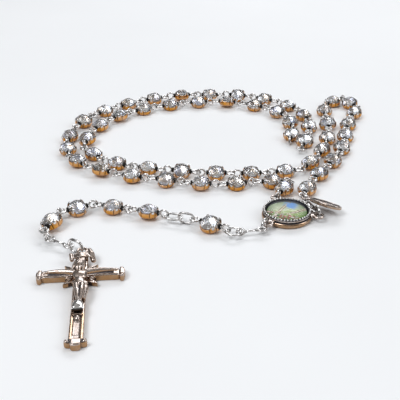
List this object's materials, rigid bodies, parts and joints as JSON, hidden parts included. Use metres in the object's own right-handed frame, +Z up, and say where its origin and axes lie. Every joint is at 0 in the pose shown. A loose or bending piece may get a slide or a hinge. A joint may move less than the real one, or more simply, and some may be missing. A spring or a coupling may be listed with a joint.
{
  "type": "rosary",
  "caption": "Rosary of claw-set crystal beads on linked wire pins, laid in a double coil, with an oval charm, a domed round centre medal and a silver crucifix on a pendant chain.",
  "frame": {"origin": "middle of the bounding box on the underside, on the surface the rosary rests on", "axes": "+X towards the side of the loop where the centre medal lies, +Y away from the crucifix across the coiled loop, +Z up off the surface"},
  "size_m": [0.1134, 0.1652, 0.005],
  "materials": {
    "bright_silver": "polished silver plate",
    "antique_silver": "worn silver with darkened recesses",
    "crystal": "clear faceted",
    "medal_glass": "clear domed",
    "picture": "printed, behind the dome"
  },
  "bodies": {
    "medal": {"medal_frame": "antique_silver", "medal_picture": "picture", "medal_dome": "medal_glass"},
    "pendant_jump_ring": {"pendant_jump_ring": "bright_silver"},
    "pendant_eye_link": {"pendant_eye_link": "bright_silver"},
    "pendant_ring_a": {"pendant_ring_a": "bright_silver"},
    "pendant_bead_1": {"pendant_bead_1_setting": "bright_silver", "pendant_bead_1_stone": "crystal"},
    "pendant_ring_b": {"pendant_ring_b": "bright_silver"},
    "pendant_ring_c": {"pendant_ring_c": "bright_silver"},
    "pendant_bead_2": {"pendant_bead_2_setting": "bright_silver", "pendant_bead_2_stone": "crystal"},
    "pendant_bead_3": {"pendant_bead_3_setting": "bright_silver", "pendant_bead_3_stone": "crystal"},
    "pendant_bead_4": {"pendant_bead_4_setting": "bright_silver", "pendant_bead_4_stone": "crystal"},
    "pendant_bead_5": {"pendant_bead_5_setting": "bright_silver", "pendant_bead_5_stone": "crystal"},
    "crucifix_ring": {"crucifix_ring": "bright_silver"},
    "crucifix_eye_link": {"crucifix_eye_link": "bright_silver"},
    "crucifix_oval_ring": {"crucifix_oval_ring": "bright_silver"},
    "cross": {"cross": "antique_silver", "corpus": "antique_silver", "title_scroll": "antique_silver", "foot_block": "antique_silver"},
    "right_jump_ring": {"right_jump_ring": "bright_silver"},
    "right_bar_link": {"right_bar_link": "bright_silver"},
    "right_small_ring": {"right_small_ring": "bright_silver"},
    "decade_1_pair_1": {"decade_1_pair_1": "bright_silver"},
    "decade_1_pair_2": {"decade_1_pair_2": "bright_silver"},
    "decade_1_pair_3": {"decade_1_pair_3": "bright_silver"},
    "decade_1_pair_4": {"decade_1_pair_4": "bright_silver"},
    "decade_1_pair_5": {"decade_1_pair_5": "bright_silver"},
    "our_father_1": {"our_father_1": "bright_silver"},
    "decade_2_pair_1": {"decade_2_pair_1": "bright_silver"},
    "decade_2_pair_2": {"decade_2_pair_2": "bright_silver"},
    "decade_2_pair_3": {"decade_2_pair_3": "bright_silver"},
    "decade_2_pair_4": {"decade_2_pair_4": "bright_silver"},
    "decade_2_pair_5": {"decade_2_pair_5": "bright_silver"},
    "our_father_2": {"our_father_2": "bright_silver"},
    "decade_3_pair_1": {"decade_3_pair_1": "bright_silver"},
    "decade_3_pair_2": {"decade_3_pair_2": "bright_silver"},
    "decade_3_pair_3": {"decade_3_pair_3": "bright_silver"},
    "decade_3_pair_4": {"decade_3_pair_4": "bright_silver"},
    "decade_3_pair_5": {"decade_3_pair_5": "bright_silver"},
    "decade_5_pair_1": {"decade_5_pair_1": "bright_silver"},
    "decade_5_pair_2": {"decade_5_pair_2": "bright_silver"},
    "decade_5_pair_3": {"decade_5_pair_3": "bright_silver"},
    "decade_5_pair_4": {"decade_5_pair_4": "bright_silver"},
    "decade_5_pair_5": {"decade_5_pair_5": "bright_silver"},
    "our_father_4": {"our_father_4": "bright_silver"},
    "decade_4_pair_1": {"decade_4_pair_1": "bright_silver"},
    "decade_4_pair_2": {"decade_4_pair_2": "bright_silver"},
    "decade_4_pair_3": {"decade_4_pair_3": "bright_silver"},
    "decade_4_pair_4": {"decade_4_pair_4": "bright_silver"},
    "decade_4_pair_5": {"decade_4_pair_5": "bright_silver"},
    "our_father_3": {"our_father_3": "bright_silver"},
    "charm": {"charm": "antique_silver"}
  },
  "joints": [
    {"name": "pendant_jump_ring_yaw", "type": "hinge", "parent": "medal", "child": "pendant_jump_ring", "pos_m": [0.01303, -0.02664, 0.00232], "axis": [0, 0, 1], "range_deg": [-5, 20]},
    {"name": "pendant_eye_link_lift", "type": "hinge", "parent": "pendant_jump_ring", "child": "pendant_eye_link", "pos_m": [0.01225, -0.02966, 0.0018], "axis": [-0.2413, 0.9705, 0], "range_deg": [0, 25]},
    {"name": "pendant_ring_a_yaw", "type": "hinge", "parent": "pendant_eye_link", "child": "pendant_ring_a", "pos_m": [0.0039, -0.03173, 0.0018], "axis": [0, 0, 1], "range_deg": [-5, 20]},
    {"name": "pendant_bead_1_lift", "type": "hinge", "parent": "pendant_ring_a", "child": "pendant_bead_1", "pos_m": [0.00119, -0.03004, 0.00209], "axis": [0.5123, 0.8588, 0], "range_deg": [0, 25]},
    {"name": "pendant_ring_b_yaw", "type": "hinge", "parent": "pendant_bead_1", "child": "pendant_ring_b", "pos_m": [-0.00835, -0.02436, 0.002], "axis": [0, 0, 1], "range_deg": [-5, 20]},
    {"name": "pendant_ring_c_lift", "type": "hinge", "parent": "pendant_ring_b", "child": "pendant_ring_c", "pos_m": [-0.01195, -0.02315, 0.0018], "axis": [0.287, 0.9579, 0], "range_deg": [0, 25]},
    {"name": "pendant_bead_2_yaw", "type": "hinge", "parent": "pendant_ring_c", "child": "pendant_bead_2", "pos_m": [-0.01597, -0.02194, 0.00223], "axis": [0, 0, 1], "range_deg": [-5, 20]},
    {"name": "pendant_bead_3_lift", "type": "hinge", "parent": "pendant_bead_2", "child": "pendant_bead_3", "pos_m": [-0.02788, -0.01815, 0.00194], "axis": [0.3055, 0.9522, 0], "range_deg": [0, 25]},
    {"name": "pendant_bead_4_yaw", "type": "hinge", "parent": "pendant_bead_3", "child": "pendant_bead_4", "pos_m": [-0.03788, -0.01494, 0.00224], "axis": [0, 0, 1], "range_deg": [-5, 20]},
    {"name": "pendant_bead_5_lift", "type": "hinge", "parent": "pendant_bead_4", "child": "pendant_bead_5", "pos_m": [-0.04839, -0.02109, 0.00254], "axis": [-0.9704, 0.2415, 0], "range_deg": [0, 25]},
    {"name": "crucifix_ring_yaw", "type": "hinge", "parent": "pendant_bead_5", "child": "crucifix_ring", "pos_m": [-0.05107, -0.03186, 0.0019], "axis": [0, 0, 1], "range_deg": [-5, 20]},
    {"name": "crucifix_eye_link_lift", "type": "hinge", "parent": "crucifix_ring", "child": "crucifix_eye_link", "pos_m": [-0.04981, -0.03473, 0.0018], "axis": [-0.5183, -0.8552, 0], "range_deg": [0, 25]},
    {"name": "crucifix_oval_ring_yaw", "type": "hinge", "parent": "crucifix_eye_link", "child": "crucifix_oval_ring", "pos_m": [-0.04286, -0.03895, 0.00237], "axis": [0, 0, 1], "range_deg": [-5, 20]},
    {"name": "cross_lift", "type": "hinge", "parent": "crucifix_oval_ring", "child": "cross", "pos_m": [-0.03891, -0.04038, 0.0018], "axis": [-0.996, -0.0889, 0], "range_deg": [0, 45]},
    {"name": "right_jump_ring_roll", "type": "hinge", "parent": "medal", "child": "right_jump_ring", "pos_m": [0.02883, -0.02164, 0.00212], "axis": [-0.211, 0.9775, 0], "range_deg": [0, 8]},
    {"name": "right_bar_link_roll", "type": "hinge", "parent": "right_jump_ring", "child": "right_bar_link", "pos_m": [0.02811, -0.01832, 0.0018], "axis": [0.3445, -0.9388, 0], "range_deg": [0, 8]},
    {"name": "right_small_ring_roll", "type": "hinge", "parent": "right_bar_link", "child": "right_small_ring", "pos_m": [0.02585, -0.01216, 0.002], "axis": [-0.1514, 0.9885, 0], "range_deg": [0, 8]},
    {"name": "decade_1_pair_1_roll", "type": "hinge", "parent": "right_small_ring", "child": "decade_1_pair_1", "pos_m": [0.02536, -0.009, 0.0019], "axis": [0.3647, 0.9311, 0], "range_deg": [0, 8]},
    {"name": "decade_1_pair_2_roll", "type": "hinge", "parent": "decade_1_pair_1", "child": "decade_1_pair_2", "pos_m": [0.03584, 0.01141, 0.0022], "axis": [0.4854, 0.8743, 0], "range_deg": [0, 8]},
    {"name": "decade_1_pair_3_roll", "type": "hinge", "parent": "decade_1_pair_2", "child": "decade_1_pair_3", "pos_m": [0.04515, 0.0324, 0.00187], "axis": [0.1929, 0.9812, 0], "range_deg": [0, 8]},
    {"name": "decade_1_pair_4_roll", "type": "hinge", "parent": "decade_1_pair_3", "child": "decade_1_pair_4", "pos_m": [0.05083, 0.05471, 0.00207], "axis": [0.4186, 0.9082, 0], "range_deg": [0, 8]},
    {"name": "decade_1_pair_5_roll", "type": "hinge", "parent": "decade_1_pair_4", "child": "decade_1_pair_5", "pos_m": [0.05066, 0.07569, 0.00194], "axis": [0.7405, 0.672, 0], "range_deg": [0, 8]},
    {"name": "our_father_1_roll", "type": "hinge", "parent": "decade_1_pair_5", "child": "our_father_1", "pos_m": [0.04176, 0.05633, 0.0018], "axis": [-0.0017, 1, 0], "range_deg": [0, 8]},
    {"name": "decade_2_pair_1_roll", "type": "hinge", "parent": "our_father_1", "child": "decade_2_pair_1", "pos_m": [0.04059, 0.04058, 0.00201], "axis": [0.2377, 0.9713, 0], "range_deg": [0, 8]},
    {"name": "decade_2_pair_2_roll", "type": "hinge", "parent": "decade_2_pair_1", "child": "decade_2_pair_2", "pos_m": [0.03351, 0.01871, 0.00217], "axis": [0.5635, 0.8261, 0], "range_deg": [0, 8]},
    {"name": "decade_2_pair_3_roll", "type": "hinge", "parent": "decade_2_pair_2", "child": "decade_2_pair_3", "pos_m": [0.01553, 0.0074, 0.0018], "axis": [0.9975, 0.0709, 0], "range_deg": [0, 8]},
    {"name": "decade_2_pair_4_roll", "type": "hinge", "parent": "decade_2_pair_3", "child": "decade_2_pair_4", "pos_m": [-0.00749, 0.00678, 0.00223], "axis": [0.9792, -0.203, 0], "range_deg": [0, 8]},
    {"name": "decade_2_pair_5_roll", "type": "hinge", "parent": "decade_2_pair_4", "child": "decade_2_pair_5", "pos_m": [-0.02989, 0.01216, 0.0018], "axis": [0.8902, -0.4556, 0], "range_deg": [0, 8]},
    {"name": "our_father_2_roll", "type": "hinge", "parent": "decade_2_pair_5", "child": "our_father_2", "pos_m": [-0.04712, 0.02663, 0.0018], "axis": [0.2534, -0.9674, 0], "range_deg": [0, 8]},
    {"name": "decade_3_pair_1_roll", "type": "hinge", "parent": "our_father_2", "child": "decade_3_pair_1", "pos_m": [-0.04616, 0.04227, 0.00207], "axis": [-0.4533, -0.8914, 0], "range_deg": [0, 8]},
    {"name": "decade_3_pair_2_roll", "type": "hinge", "parent": "decade_3_pair_1", "child": "decade_3_pair_2", "pos_m": [-0.03322, 0.06112, 0.00194], "axis": [-0.8525, -0.5228, 0], "range_deg": [0, 8]},
    {"name": "decade_3_pair_3_roll", "type": "hinge", "parent": "decade_3_pair_2", "child": "decade_3_pair_3", "pos_m": [-0.01243, 0.07073, 0.00202], "axis": [-0.993, -0.1184, 0], "range_deg": [0, 8]},
    {"name": "decade_3_pair_4_roll", "type": "hinge", "parent": "decade_3_pair_3", "child": "decade_3_pair_4", "pos_m": [0.01041, 0.0703, 0.00204], "axis": [-0.8828, 0.4697, 0], "range_deg": [0, 8]},
    {"name": "decade_3_pair_5_roll", "type": "hinge", "parent": "decade_3_pair_4", "child": "decade_3_pair_5", "pos_m": [0.02696, 0.05524, 0.00211], "axis": [-0.0953, 0.9955, 0], "range_deg": [0, 8]},
    {"name": "decade_5_pair_1_roll", "type": "hinge", "parent": "medal", "child": "decade_5_pair_1", "pos_m": [0.01713, -0.01024, 0.00223], "axis": [0.4521, 0.892, 0], "range_deg": [0, 8]},
    {"name": "decade_5_pair_2_roll", "type": "hinge", "parent": "decade_5_pair_1", "child": "decade_5_pair_2", "pos_m": [0.01129, 0.00059, 0.0018], "axis": [0.9854, 0.1702, 0], "range_deg": [0, 8]},
    {"name": "decade_5_pair_3_roll", "type": "hinge", "parent": "decade_5_pair_2", "child": "decade_5_pair_3", "pos_m": [-0.01154, -0.00034, 0.00232], "axis": [0.9658, -0.2592, 0], "range_deg": [0, 8]},
    {"name": "decade_5_pair_4_roll", "type": "hinge", "parent": "decade_5_pair_3", "child": "decade_5_pair_4", "pos_m": [-0.03374, 0.00584, 0.00229], "axis": [0.8827, -0.47, 0], "range_deg": [0, 8]},
    {"name": "decade_5_pair_5_roll", "type": "hinge", "parent": "decade_5_pair_4", "child": "decade_5_pair_5", "pos_m": [-0.05135, 0.02003, 0.00194], "axis": [0.2325, -0.9726, 0], "range_deg": [0, 8]},
    {"name": "our_father_4_roll", "type": "hinge", "parent": "decade_5_pair_5", "child": "our_father_4", "pos_m": [-0.05348, 0.04274, 0.0018], "axis": [-0.2159, -0.9764, 0], "range_deg": [0, 8]},
    {"name": "decade_4_pair_1_roll", "type": "hinge", "parent": "our_father_4", "child": "decade_4_pair_1", "pos_m": [-0.04766, 0.05737, 0.00194], "axis": [-0.6473, -0.7622, 0], "range_deg": [0, 8]},
    {"name": "decade_4_pair_2_roll", "type": "hinge", "parent": "decade_4_pair_1", "child": "decade_4_pair_2", "pos_m": [-0.03081, 0.07282, 0.00202], "axis": [-0.9222, -0.3868, 0], "range_deg": [0, 8]},
    {"name": "decade_4_pair_3_roll", "type": "hinge", "parent": "decade_4_pair_2", "child": "decade_4_pair_3", "pos_m": [-0.0089, 0.07961, 0.00204], "axis": [-0.9999, -0.0128, 0], "range_deg": [0, 8]},
    {"name": "decade_4_pair_4_roll", "type": "hinge", "parent": "decade_4_pair_3", "child": "decade_4_pair_4", "pos_m": [0.01392, 0.07748, 0.00211], "axis": [-0.8829, 0.4695, 0], "range_deg": [0, 8]},
    {"name": "decade_4_pair_5_roll", "type": "hinge", "parent": "decade_4_pair_4", "child": "decade_4_pair_5", "pos_m": [0.03177, 0.06351, 0.0019], "axis": [-0.2552, 0.9669, 0], "range_deg": [0, 8]},
    {"name": "our_father_3_roll", "type": "hinge", "parent": "decade_4_pair_5", "child": "our_father_3", "pos_m": [0.03337, 0.04094, 0.0018], "axis": [0.2487, 0.9686, 0], "range_deg": [0, 8]},
    {"name": "charm_yaw", "type": "hinge", "parent": "right_small_ring", "child": "charm", "pos_m": [0.02585, -0.01216, 0.0028], "axis": [0, 0, 1], "range_deg": [-3, 40]}
  ]
}
